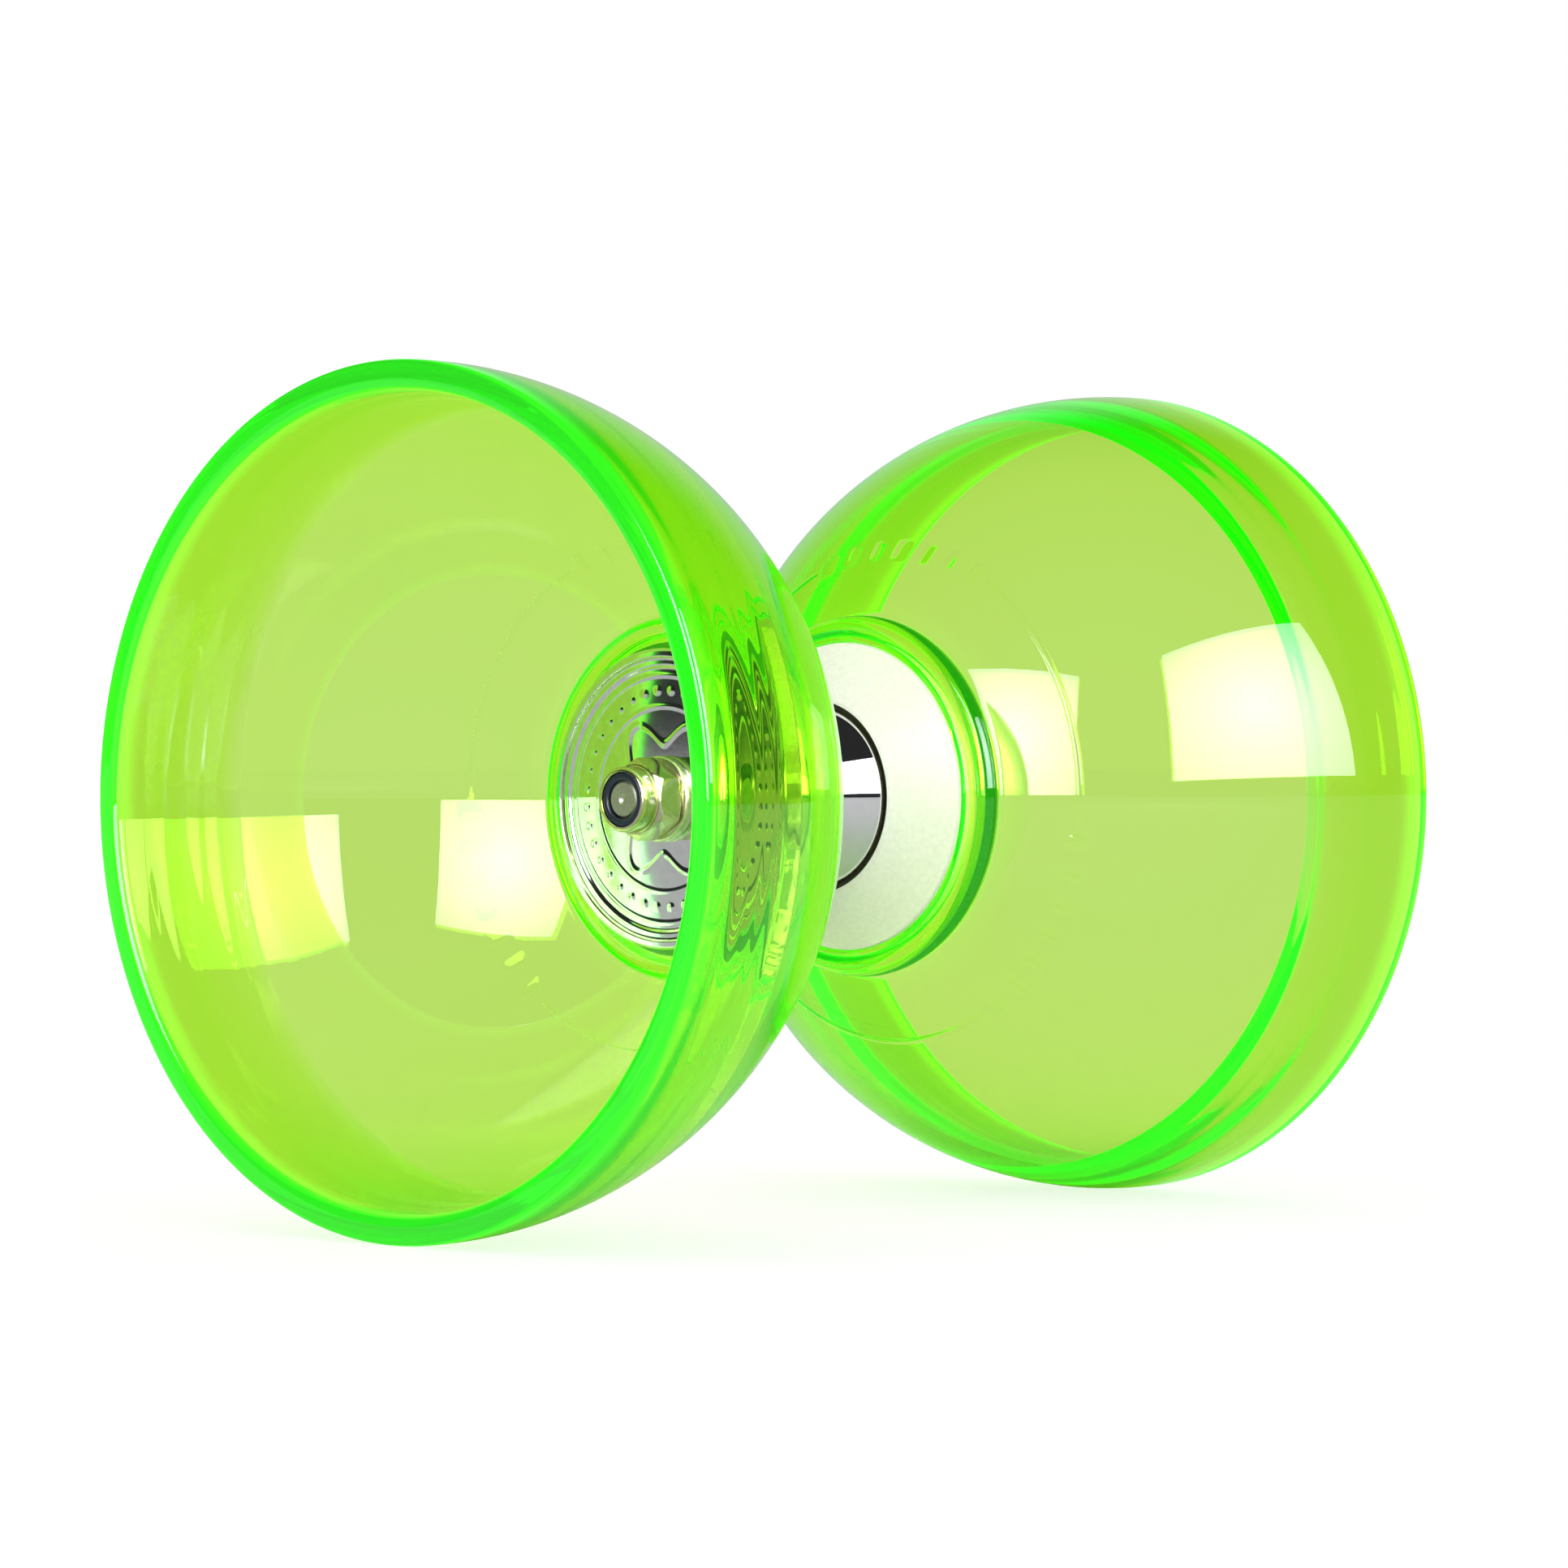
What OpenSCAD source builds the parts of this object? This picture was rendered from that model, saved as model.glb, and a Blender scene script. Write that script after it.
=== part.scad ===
// Bearing diabolo: two flexible bowls on a chrome barrel that turns freely on two ball bearings.
// All lengths are in millimetres. The spin axis lies along X and the centre of the barrel is the origin.

/* [Cups] */
// Radius of the cup's mouth, outside
rim_r = 59; // [55:0.5:65]
// Distance from the centre of the axle to the plane of the mouth
rim_x = 74.5; // [70:0.1:82]
// Radius of the arc that makes the bowl's outside
bowl_arc_r = 59.5; // [54:0.5:64]
// Wall of the bowl
wall_t = 2.4; // [1.8:0.1:3.2]
// Radius inside the thick lip, at the mouth
lip_inner_r = 54.2; // [52:0.1:55.5]
// Draft of the lip's inside, in degrees: how fast it narrows away from the mouth
lip_draft = 3; // [1:0.5:5]
// Rounding of the lip's outer corner
lip_round_out = 0.8; // [0.4:0.1:2]
// Rounding of the lip's inner corner
lip_round_in = 1; // [0.4:0.1:2]
// Radius of the socket that takes the hub
socket_r = 22; // [18:0.1:26]
// Radius of the hole in the cup's floor
floor_hole_r = 17; // [12:0.1:20]

/* [Hubs and clamp discs] */
// Radius where the hub's cone starts, at the barrel
hub_mouth_r = 13.6; // [12:0.1:16]
// Distance from the centre to the hub's narrow end
hub_near_x = 8.75; // [7:0.05:12]
// Distance from the centre to the wide edge of the hub's cone
hub_edge_x = 14.4; // [12:0.1:18]
// Radius of the metal clamp disc inside the cup
disc_r = 20.95; // [16:0.05:24]

/* [Barrel] */
// Half the length of the chrome barrel
barrel_half = 9.2; // [7:0.1:14]
// Radius of the barrel's ends
barrel_end_r = 13; // [9:0.1:16]
// Radius of the barrel's waist
barrel_waist_r = 11.5; // [10:0.1:15]

/* [Fasteners] */
// Radius of the threaded stud
stud_r = 3; // [2.5:0.1:4]
// Half the length of the threaded stud
stud_half = 30.3; // [28:0.1:34]
// Width of the lock nut across its flats
nut_flats = 10; // [8:0.5:13]
// Height of the lock nut
nut_h = 7.1; // [5:0.1:9]
// Radius of the flat washer
washer_r = 6; // [5:0.1:9]
// Thickness of the flat washer
washer_t = 1.6; // [0.8:0.1:2.5]

/* [Bearings] */
// Distance from the centre to the middle of each bearing
bearing_x = 5.35; // [4:0.05:8]
// Outside radius of each bearing
bearing_r = 8.5; // [7:0.1:11]
// Width of each bearing
bearing_w = 6; // [4:0.5:8]
// Number of balls in each bearing
ball_count = 7; // [6:1:9]
// Radius of one ball
ball_r = 1.55; // [1:0.05:2]

/* [Hidden] */

round_fn = 144;
small_fn = 72;

// Slack left between two pieces that are pushed together
push_gap = 0.05;

// The bowl's wall lies between two arcs about one centre
arc_x = 72.5;
arc_r = rim_r - bowl_arc_r;
bowl_inner_arc_r = bowl_arc_r - wall_t;

// Cup floor and collar
floor_near_x = 18.9;
floor_far_x = 21.1;
collar_top_x = 15;
collar_step_r = 22.95;
collar_bead_r = 24.2;
collar_bead_x = 17.9;
collar_bead_round = 1.7;
collar_foot_x = 16.5;

// Clamp disc: flat field with a raised rim
disc_field_x = 22.1;
disc_rim_x = 22.8;
disc_rim_r = 19.7;
disc_bevel = 0.35;
disc_step_r = 18.5;
disc_step = 0.2;

// Hub
hub_floor_x = barrel_half + 0.7;
hub_land = 0.5;
hub_edge_bevel = 0.4;

// Barrel
barrel_land = 0.7;
barrel_bevel = 0.3;
barrel_arc_half = barrel_half - barrel_land;
barrel_sag = barrel_end_r - barrel_waist_r;
barrel_arc_r = (pow(barrel_arc_half, 2) + pow(barrel_sag, 2)) / (2 * barrel_sag);
barrel_shoulder_r = 7.6;

// Fasteners
bore_r = stud_r + push_gap;
stud_bevel = 0.6;
washer_x = disc_field_x;
washer_hole_r = 3.2;
nut_x = washer_x + washer_t;
nut_corner_r = nut_flats / 2 / cos(30);
nut_hex_h = 4.3;
nut_face_r = 4.7;
nut_cone = 0.6;
nut_collar_r = 4.55;
nut_collar_round = 0.6;
insert_near_x = nut_x + nut_hex_h + 0.6;
insert_far_x = nut_x + nut_h - 0.25;
insert_r = 3.8;
insert_lip_r = 2.7;
nut_mouth_r = 3.75;

// Bearings
pitch_r = 5.8;
groove_r = ball_r + 0.1;
pocket_r = ball_r + 0.07;
inner_race_r = 4.7;
outer_race_in_r = 6.9;
shield_seat_r = 7.35;
shield_seat_depth = 0.42;
shield_in_r = 5.05;
shield_out_r = 7.3;
shield_t = 0.3;
shield_x = bearing_w / 2 - 0.38;
cage_in_r = 5.3;
cage_out_r = 6.3;
cage_half = 2;
race_bevel = 0.25;
spacer_r = 4.6;

cup_green = [0.55, 0.9, 0.15, 0.55];
hub_white = [0.95, 0.94, 0.88];
alloy_grey = [0.72, 0.74, 0.72];
zinc_yellow = [0.72, 0.7, 0.5];
insert_blue = [0.05, 0.07, 0.2];
steel_grey = [0.6, 0.6, 0.6];
chrome_grey = [0.85, 0.86, 0.88];
cage_brown = [0.7, 0.55, 0.3];

// Turns a half profile (radius, distance along the axis) about the X axis
module spin_x(fn = round_fn) {
    rotate([0, 90, 0]) rotate_extrude($fn = fn) children();
}

// A plain ring between two radii and two places along the axis
module ring_2d(r_in, r_out, x_near, x_far) {
    translate([r_in, x_near]) square([r_out - r_in, x_far - x_near]);
}

module bowl_disc_2d(r) {
    translate([arc_r, arc_x]) circle(r = r, $fn = 180);
}

// Solid half profile of the cup before it is hollowed: bowl, round-cornered lip, collar and bead
module cup_outside_2d() {
    corner_r = rim_r - lip_round_out;
    corner_x = rim_x - lip_round_out;
    intersection() {
        bowl_disc_2d(bowl_arc_r);
        ring_2d(floor_hole_r, rim_r, collar_foot_x, arc_x);
    }
    ring_2d(floor_hole_r, rim_r, arc_x, corner_x);
    ring_2d(floor_hole_r, corner_r, arc_x, rim_x);
    translate([corner_r, corner_x]) circle(r = lip_round_out, $fn = 48);
    ring_2d(floor_hole_r, collar_step_r, collar_top_x, floor_near_x);
    translate([collar_bead_r, collar_bead_x]) circle(r = collar_bead_round, $fn = 48);
}

// Space inside the cup: follows the bowl up to the crease, then widens slowly to the mouth
module cup_inside_2d() {
    corner_r = lip_inner_r + lip_round_in;
    corner_x = rim_x - lip_round_in;
    intersection() {
        bowl_disc_2d(bowl_inner_arc_r);
        polygon([
            [0, floor_far_x],
            [lip_inner_r - (corner_x - floor_far_x) * tan(lip_draft), floor_far_x],
            [lip_inner_r, corner_x],
            [lip_inner_r, rim_x + 1],
            [0, rim_x + 1]
        ]);
    }
    difference() {
        ring_2d(lip_inner_r - 1, corner_r, corner_x, rim_x + 1);
        translate([corner_r, corner_x]) circle(r = lip_round_in, $fn = 48);
    }
}

module cup_body() {
    spin_x() {
        difference() {
            union() cup_outside_2d();
            union() cup_inside_2d();
            ring_2d(0, socket_r, collar_top_x - 1, floor_near_x);
        }
    }
}

module cup_left() {
    color(cup_green) mirror([1, 0, 0]) cup_body();
}

module cup_right() {
    color(cup_green) cup_body();
}

// White hub: a cone towards the string gap, a boss through the cup's floor
module hub_body() {
    outer_r = socket_r - push_gap;
    boss_r = floor_hole_r - push_gap;
    spin_x() polygon([
        [bore_r, hub_floor_x],
        [hub_mouth_r, hub_floor_x],
        [hub_mouth_r, hub_near_x + 0.15],
        [hub_mouth_r + 0.15, hub_near_x],
        [hub_mouth_r + hub_land, hub_near_x],
        [outer_r - hub_edge_bevel, hub_edge_x],
        [outer_r, hub_edge_x + hub_edge_bevel],
        [outer_r, floor_near_x],
        [boss_r, floor_near_x],
        [boss_r, floor_far_x],
        [bore_r, floor_far_x]
    ]);
}

module hub_left() {
    color(hub_white) mirror([1, 0, 0]) hub_body();
}

module hub_right() {
    color(hub_white) hub_body();
}

// Pressed metal disc that clamps the cup's floor to the hub
module clamp_disc_body() {
    spin_x() polygon([
        [bore_r, floor_far_x],
        [disc_r - disc_bevel, floor_far_x],
        [disc_r, floor_far_x + disc_bevel],
        [disc_r, disc_rim_x - disc_bevel],
        [disc_r - disc_bevel, disc_rim_x],
        [disc_rim_r, disc_rim_x],
        [disc_rim_r - disc_bevel, disc_field_x + disc_step],
        [disc_step_r, disc_field_x + disc_step],
        [disc_step_r - disc_step, disc_field_x],
        [bore_r, disc_field_x]
    ]);
}

module clamp_disc_left() {
    color(alloy_grey) mirror([1, 0, 0]) clamp_disc_body();
}

module clamp_disc_right() {
    color(alloy_grey) clamp_disc_body();
}

module washer_body() {
    spin_x(small_fn) ring_2d(washer_hole_r, washer_r, washer_x, washer_x + washer_t);
}

module washer_left() {
    color(zinc_yellow) mirror([1, 0, 0]) washer_body();
}

module washer_right() {
    color(zinc_yellow) washer_body();
}

// Hexagon of the nut, with the flats' corners turned off at both ends
module nut_hexagon() {
    intersection() {
        translate([nut_x, 0, 0]) rotate([0, 90, 0]) cylinder(h = nut_hex_h, r = nut_corner_r, $fn = 6);
        spin_x(small_fn) polygon([
            [0, nut_x],
            [nut_face_r, nut_x],
            [nut_corner_r, nut_x + nut_cone],
            [nut_corner_r, nut_x + nut_hex_h - nut_cone],
            [nut_collar_r, nut_x + nut_hex_h],
            [0, nut_x + nut_hex_h]
        ]);
    }
}

// Round collar of the nut, rolled in over the plastic insert
module nut_collar() {
    collar_far_x = nut_x + nut_h;
    spin_x(small_fn) {
        union() {
            ring_2d(0, nut_collar_r, nut_x + nut_hex_h - 0.1, collar_far_x - nut_collar_round);
            ring_2d(0, nut_collar_r - nut_collar_round, nut_x + nut_hex_h, collar_far_x);
            translate([nut_collar_r - nut_collar_round, collar_far_x - nut_collar_round])
                circle(r = nut_collar_round, $fn = 32);
        }
    }
}

module lock_nut_body() {
    difference() {
        union() {
            nut_hexagon();
            nut_collar();
        }
        spin_x(small_fn) {
            union() {
                ring_2d(0, bore_r, nut_x - 1, nut_x + nut_h);
                ring_2d(0, insert_r + push_gap, insert_near_x, insert_far_x + push_gap);
                ring_2d(0, nut_mouth_r, insert_near_x, nut_x + nut_h + 1);
            }
        }
    }
}

module lock_nut_left() {
    color(zinc_yellow) mirror([1, 0, 0]) lock_nut_body();
}

module lock_nut_right() {
    color(zinc_yellow) lock_nut_body();
}

// Plastic ring held inside the nut; its edge reaches in over the stud's bevel
module nut_insert_body() {
    spin_x(small_fn) polygon([
        [bore_r, insert_near_x],
        [insert_r, insert_near_x],
        [insert_r, insert_far_x],
        [insert_lip_r, insert_far_x],
        [insert_lip_r, stud_half - 0.2],
        [bore_r, stud_half - stud_bevel - 0.05]
    ]);
}

module nut_insert_left() {
    color(insert_blue) mirror([1, 0, 0]) nut_insert_body();
}

module nut_insert_right() {
    color(insert_blue) nut_insert_body();
}

module axle_stud() {
    color(steel_grey) spin_x(small_fn) polygon([
        [0, -stud_half],
        [stud_r - stud_bevel, -stud_half],
        [stud_r, -stud_half + stud_bevel],
        [stud_r, stud_half - stud_bevel],
        [stud_r - stud_bevel, stud_half],
        [0, stud_half]
    ]);
}

// Waisted chrome barrel with a bearing seat at each end and a shoulder between them
module barrel() {
    seat_r = bearing_r + push_gap;
    seat_x = bearing_x - bearing_w / 2;
    color(chrome_grey) spin_x() {
        difference() {
            union() {
                ring_2d(barrel_shoulder_r, barrel_end_r, -barrel_half + barrel_bevel, barrel_half - barrel_bevel);
                polygon([
                    [barrel_shoulder_r, -barrel_half],
                    [barrel_end_r - barrel_bevel, -barrel_half],
                    [barrel_end_r, -barrel_half + barrel_bevel],
                    [barrel_end_r, barrel_half - barrel_bevel],
                    [barrel_end_r - barrel_bevel, barrel_half],
                    [barrel_shoulder_r, barrel_half]
                ]);
            }
            translate([barrel_waist_r + barrel_arc_r, 0]) circle(r = barrel_arc_r, $fn = 180);
            ring_2d(0, seat_r, seat_x, barrel_half + 1);
            ring_2d(0, seat_r, -barrel_half - 1, -seat_x);
        }
    }
}

// Sleeve on the stud that keeps the two bearings apart
module spacer_sleeve() {
    seat_x = bearing_x - bearing_w / 2;
    color(alloy_grey) spin_x(small_fn) ring_2d(bore_r, spacer_r, -seat_x, seat_x);
}

// Short sleeve between a bearing and the hub
module thrust_spacer_body() {
    spin_x(small_fn) ring_2d(bore_r, spacer_r, bearing_x + bearing_w / 2, hub_floor_x);
}

module thrust_spacer_left() {
    color(alloy_grey) mirror([1, 0, 0]) thrust_spacer_body();
}

module thrust_spacer_right() {
    color(alloy_grey) thrust_spacer_body();
}

module groove_2d() {
    translate([pitch_r, bearing_x]) circle(r = groove_r, $fn = 48);
}

module inner_race_body() {
    near_x = bearing_x - bearing_w / 2;
    far_x = bearing_x + bearing_w / 2;
    spin_x(small_fn) {
        difference() {
            polygon([
                [bore_r, near_x],
                [inner_race_r - race_bevel, near_x],
                [inner_race_r, near_x + race_bevel],
                [inner_race_r, far_x - race_bevel],
                [inner_race_r - race_bevel, far_x],
                [bore_r, far_x]
            ]);
            groove_2d();
        }
    }
}

module inner_race_left() {
    color(steel_grey) mirror([1, 0, 0]) inner_race_body();
}

module inner_race_right() {
    color(steel_grey) inner_race_body();
}

module outer_race_body() {
    near_x = bearing_x - bearing_w / 2;
    far_x = bearing_x + bearing_w / 2;
    spin_x(small_fn) {
        difference() {
            polygon([
                [outer_race_in_r, near_x],
                [bearing_r - race_bevel, near_x],
                [bearing_r, near_x + race_bevel],
                [bearing_r, far_x - race_bevel],
                [bearing_r - race_bevel, far_x],
                [outer_race_in_r, far_x]
            ]);
            groove_2d();
            ring_2d(0, shield_seat_r, near_x - 1, near_x + shield_seat_depth);
            ring_2d(0, shield_seat_r, far_x - shield_seat_depth, far_x + 1);
        }
    }
}

module outer_race_left() {
    color(steel_grey) mirror([1, 0, 0]) outer_race_body();
}

module outer_race_right() {
    color(steel_grey) outer_race_body();
}

module balls_at(x_mid, r) {
    for (i = [0 : ball_count - 1]) {
        rotate([i * 360 / ball_count, 0, 0]) translate([x_mid, 0, pitch_r]) sphere(r = r, $fn = 32);
    }
}

module bearing_balls_left() {
    color(steel_grey) balls_at(-bearing_x, ball_r);
}

module bearing_balls_right() {
    color(steel_grey) balls_at(bearing_x, ball_r);
}

module cage_at(x_mid) {
    difference() {
        spin_x(small_fn) ring_2d(cage_in_r, cage_out_r, x_mid - cage_half, x_mid + cage_half);
        balls_at(x_mid, pocket_r);
    }
}

module bearing_cage_left() {
    color(cage_brown) cage_at(-bearing_x);
}

module bearing_cage_right() {
    color(cage_brown) cage_at(bearing_x);
}

module shields_body() {
    spin_x(small_fn) {
        union() {
            ring_2d(shield_in_r, shield_out_r, bearing_x + shield_x, bearing_x + shield_x + shield_t);
            ring_2d(shield_in_r, shield_out_r, bearing_x - shield_x - shield_t, bearing_x - shield_x);
        }
    }
}

module bearing_shields_left() {
    color(steel_grey) mirror([1, 0, 0]) shields_body();
}

module bearing_shields_right() {
    color(steel_grey) shields_body();
}

cup_left();
cup_right();
hub_left();
hub_right();
clamp_disc_left();
clamp_disc_right();
lock_nut_left();
lock_nut_right();
nut_insert_left();
nut_insert_right();
washer_left();
washer_right();
axle_stud();
barrel();
spacer_sleeve();
thrust_spacer_left();
thrust_spacer_right();
inner_race_left();
inner_race_right();
outer_race_left();
outer_race_right();
bearing_balls_left();
bearing_balls_right();
bearing_cage_left();
bearing_cage_right();
bearing_shields_left();
bearing_shields_right();
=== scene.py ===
import math
import bpy
import numpy as np
from mathutils import Matrix, Vector


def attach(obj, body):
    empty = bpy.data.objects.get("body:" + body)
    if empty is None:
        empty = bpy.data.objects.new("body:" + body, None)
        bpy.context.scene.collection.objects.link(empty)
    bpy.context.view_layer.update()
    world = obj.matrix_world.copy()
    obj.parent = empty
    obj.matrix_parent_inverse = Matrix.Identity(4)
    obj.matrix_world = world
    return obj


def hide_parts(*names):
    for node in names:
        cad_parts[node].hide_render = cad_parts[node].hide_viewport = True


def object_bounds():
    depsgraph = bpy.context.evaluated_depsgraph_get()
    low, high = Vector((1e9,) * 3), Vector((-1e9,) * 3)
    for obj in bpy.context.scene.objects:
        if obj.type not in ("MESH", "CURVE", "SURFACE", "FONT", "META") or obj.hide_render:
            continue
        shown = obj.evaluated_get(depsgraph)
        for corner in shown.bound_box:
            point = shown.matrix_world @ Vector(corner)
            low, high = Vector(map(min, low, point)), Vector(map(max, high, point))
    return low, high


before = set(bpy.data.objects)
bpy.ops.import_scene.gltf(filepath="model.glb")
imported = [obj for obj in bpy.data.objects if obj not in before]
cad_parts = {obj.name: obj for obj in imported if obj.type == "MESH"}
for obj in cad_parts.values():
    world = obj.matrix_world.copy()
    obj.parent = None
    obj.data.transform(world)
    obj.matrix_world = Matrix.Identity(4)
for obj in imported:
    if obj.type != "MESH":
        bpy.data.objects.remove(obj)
cad_low, cad_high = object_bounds()
MM = 0.001

# ---------------------------------------------------------------- node helpers

MIX_A, MIX_B, MIX_OUT = 6, 7, 2     # the colour sockets of a Mix node


def grey(value):
    return (value, value, value, 1)


def link(tree, a, a_name, b, b_name):
    tree.links.new(a.outputs[a_name], b.inputs[b_name])


def math_node(tree, operation, clamp=False):
    node = tree.nodes.new("ShaderNodeMath")
    node.operation = operation
    node.use_clamp = clamp
    return node


def map_range(tree, source, target, smooth=True):
    """Turns the span source = (from, to) into the span target = (from, to)."""
    node = tree.nodes.new("ShaderNodeMapRange")
    if smooth:
        node.interpolation_type = "SMOOTHSTEP"
    node.inputs["From Min"].default_value, node.inputs["From Max"].default_value = source
    node.inputs["To Min"].default_value, node.inputs["To Max"].default_value = target
    return node


def colour_mix(tree, a=None, b=None):
    node = tree.nodes.new("ShaderNodeMix")
    node.data_type = "RGBA"
    if a is not None:
        node.inputs[MIX_A].default_value = a
    if b is not None:
        node.inputs[MIX_B].default_value = b
    return node


# ---------------------------------------------------------------- materials

# The bowls' dye: the colour and strength of its absorption. Then the colour of the painted glow, an emission
# standing in for light the plastic gathers and carries to its edges
DYE_COLOUR, DYE_DENSITY, PAINTED_GLOW_COLOUR = (0.80, 0.985, 0.02, 1), 600.0, (0.07, 1.0, 0.04, 1)
# Where the painted glow rises towards the lip and falls away from the collar (metres along the axis), and how
# strong
LIP_PAINTED_GLOW_AT, LIP_PAINTED_GLOW = (0.0706, 0.0738), (0.045, 0.40)
COLLAR_PAINTED_GLOW_AT, COLLAR_PAINTED_GLOW = (0.0180, 0.0215), (0.060, 0.0)
PLASTIC_BUMP, METAL_BUMP = 0.0002, 0.00008
PLASTIC_DARKEST, METAL_DARKEST = 0.94, 0.85


def new_material(name):
    mat = bpy.data.materials.new(name)
    mat.use_nodes = True
    tree = mat.node_tree
    return mat, tree, tree.nodes["Principled BSDF"]


def bump(tree, shader, scale, strength, distance, detail=3.0, stretch=(1, 1, 1)):
    """Fine grain from noise, as a bump on the shader's normal."""
    coord = tree.nodes.new("ShaderNodeTexCoord")
    mapping = tree.nodes.new("ShaderNodeMapping")
    mapping.inputs["Scale"].default_value = stretch
    noise = tree.nodes.new("ShaderNodeTexNoise")
    noise.inputs["Scale"].default_value = scale
    noise.inputs["Detail"].default_value = detail
    node = tree.nodes.new("ShaderNodeBump")
    node.inputs["Strength"].default_value = strength
    node.inputs["Distance"].default_value = distance
    link(tree, coord, "Object", mapping, "Vector")
    link(tree, mapping, "Vector", noise, "Vector")
    link(tree, noise, "Fac", node, "Height")
    link(tree, node, "Normal", shader, "Normal")
    return noise


def ramp_between(tree, source, low, high, at=(0.35, 0.65)):
    """A colour that runs from low to high with the source's value."""
    ramp = tree.nodes.new("ShaderNodeValToRGB")
    for element, place, colour in zip(ramp.color_ramp.elements, at, (low, high)):
        element.position = place
        element.color = (*colour, 1)
    link(tree, source, "Fac", ramp, "Fac")
    return ramp


def clear_plastic():
    """Clear dyed plastic with painted light: every surface glows a little and the edges most, an emission
    standing in for light the plastic gathers and carries to its edges.
    """
    mat, tree, p = new_material("clear_green_plastic")
    p.inputs["Base Color"].default_value = (1, 1, 1, 1)
    p.inputs["Transmission Weight"].default_value = 1.0
    p.inputs["IOR"].default_value = 1.5
    p.inputs["Roughness"].default_value = 0.02
    volume = tree.nodes.new("ShaderNodeVolumeAbsorption")
    volume.inputs["Color"].default_value = DYE_COLOUR
    volume.inputs["Density"].default_value = DYE_DENSITY
    # Painted light: an emission glow, weak on every surface and strongest towards the lip and round the
    # collar
    p.inputs["Emission Color"].default_value = PAINTED_GLOW_COLOUR
    coord = tree.nodes.new("ShaderNodeTexCoord")
    split = tree.nodes.new("ShaderNodeSeparateXYZ")
    away = math_node(tree, "ABSOLUTE")
    lip = map_range(tree, LIP_PAINTED_GLOW_AT, LIP_PAINTED_GLOW)
    collar = map_range(tree, COLLAR_PAINTED_GLOW_AT, COLLAR_PAINTED_GLOW)
    painted_glow_strength = math_node(tree, "ADD")
    link(tree, coord, "Object", split, "Vector")
    link(tree, split, "X", away, 0)
    link(tree, away, 0, lip, "Value")
    link(tree, away, 0, collar, "Value")
    link(tree, lip, "Result", painted_glow_strength, 0)
    link(tree, collar, "Result", painted_glow_strength, 1)
    link(tree, painted_glow_strength, 0, p, "Emission Strength")
    link(tree, volume, "Volume", tree.nodes["Material Output"], "Volume")
    return mat


def plain_plastic(name, colour, rough, grain=900.0, strength=0.05, subsurface=0.0):
    mat, tree, p = new_material(name)
    noise = bump(tree, p, grain, strength, PLASTIC_BUMP)
    ramp = ramp_between(tree, noise, tuple(c * PLASTIC_DARKEST for c in colour), colour)
    link(tree, ramp, "Color", p, "Base Color")
    p.inputs["Roughness"].default_value = rough
    p.inputs["Subsurface Weight"].default_value = subsurface
    p.inputs["Subsurface Scale"].default_value = 0.004
    p.inputs["Subsurface Radius"].default_value = (1.0, 0.9, 0.7)
    return mat


def metal(name, colour, rough, grain, strength, stretch=(1, 1, 1), darkest=METAL_DARKEST):
    mat, tree, p = new_material(name)
    noise = bump(tree, p, grain, strength, METAL_BUMP, 4.0, stretch)
    ramp = ramp_between(tree, noise, tuple(c * darkest for c in colour), colour)
    link(tree, ramp, "Color", p, "Base Color")
    p.inputs["Metallic"].default_value = 1.0
    p.inputs["Roughness"].default_value = rough
    return mat


CLEAR = clear_plastic()
IVORY = plain_plastic("ivory_hub_plastic", (0.95, 0.90, 0.88), 0.34, 1400.0, 0.012, 0.1)
# Painted shade: a dark plastic laid on the hub's recess round the barrel end, where the narrow crevice lies
# in shade
SHADE = plain_plastic("hub_recess_painted_shade", (0.10, 0.09, 0.05), 0.7)
ALLOY = metal("pressed_alloy", (0.76, 0.79, 0.77), 0.06, 900.0, 0.012, darkest=0.92)
NUT = metal("yellow_zinc", (0.62, 0.59, 0.40), 0.17, 1800.0, 0.05)
WASHER = metal("washer_zinc", (0.72, 0.70, 0.54), 0.22, 1800.0, 0.10)
STUD = metal("cut_steel", (0.42, 0.40, 0.32), 0.42, 2600.0, 0.30)
INSERT = plain_plastic("dark_blue_nylon", (0.012, 0.016, 0.06), 0.28)
CHROME = metal("mirror_chrome", (0.90, 0.91, 0.92), 0.035, 900.0, 0.01, darkest=0.97)
RACE = metal("ground_steel", (0.62, 0.63, 0.64), 0.14, 1500.0, 0.05, (30, 1, 1))
BALL = metal("polished_ball", (0.85, 0.86, 0.88), 0.05, 900.0, 0.02)
CAGE = metal("pressed_brass", (0.83, 0.65, 0.34), 0.25, 1500.0, 0.10)
SHIELD = metal("pressed_shield", (0.68, 0.69, 0.70), 0.22, 1500.0, 0.08)
SPACER = metal("turned_alloy", (0.76, 0.77, 0.78), 0.20, 1500.0, 0.10, (40, 1, 1))

# ---------------------------------------------------------------- shape helpers


def arc(x, r, radius, start, end, steps):
    """Points (distance along the axis, radius) on a round. Angles run from outward towards +axis."""
    out = []
    for i in range(steps + 1):
        t = math.radians(start + (end - start) * i / steps)
        out.append((x + radius * math.sin(t), r + radius * math.cos(t)))
    return out


def line(a, b, steps):
    return [(a[0] + (b[0] - a[0]) * i / steps, a[1] + (b[1] - a[1]) * i / steps) for i in range(steps + 1)]


def tidy(points):
    """Drops points that repeat the one before."""
    nearest = 1e-4
    out = []
    for p in points:
        if not out or math.dist(out[-1], p) > nearest:
            out.append(p)
    if math.dist(out[0], out[-1]) < nearest:
        out.pop()
    return out


def swell(d, w):
    """A soft hump of width w on both sides of d = 0."""
    return 0.5 + 0.5 * math.cos(math.pi * min(1.0, abs(d) / w))


def plateau(d, w):
    """A flat-topped hump of width w on both sides of d = 0."""
    return max(0.0, 1.0 - (abs(d) / w) ** 4)


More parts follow.
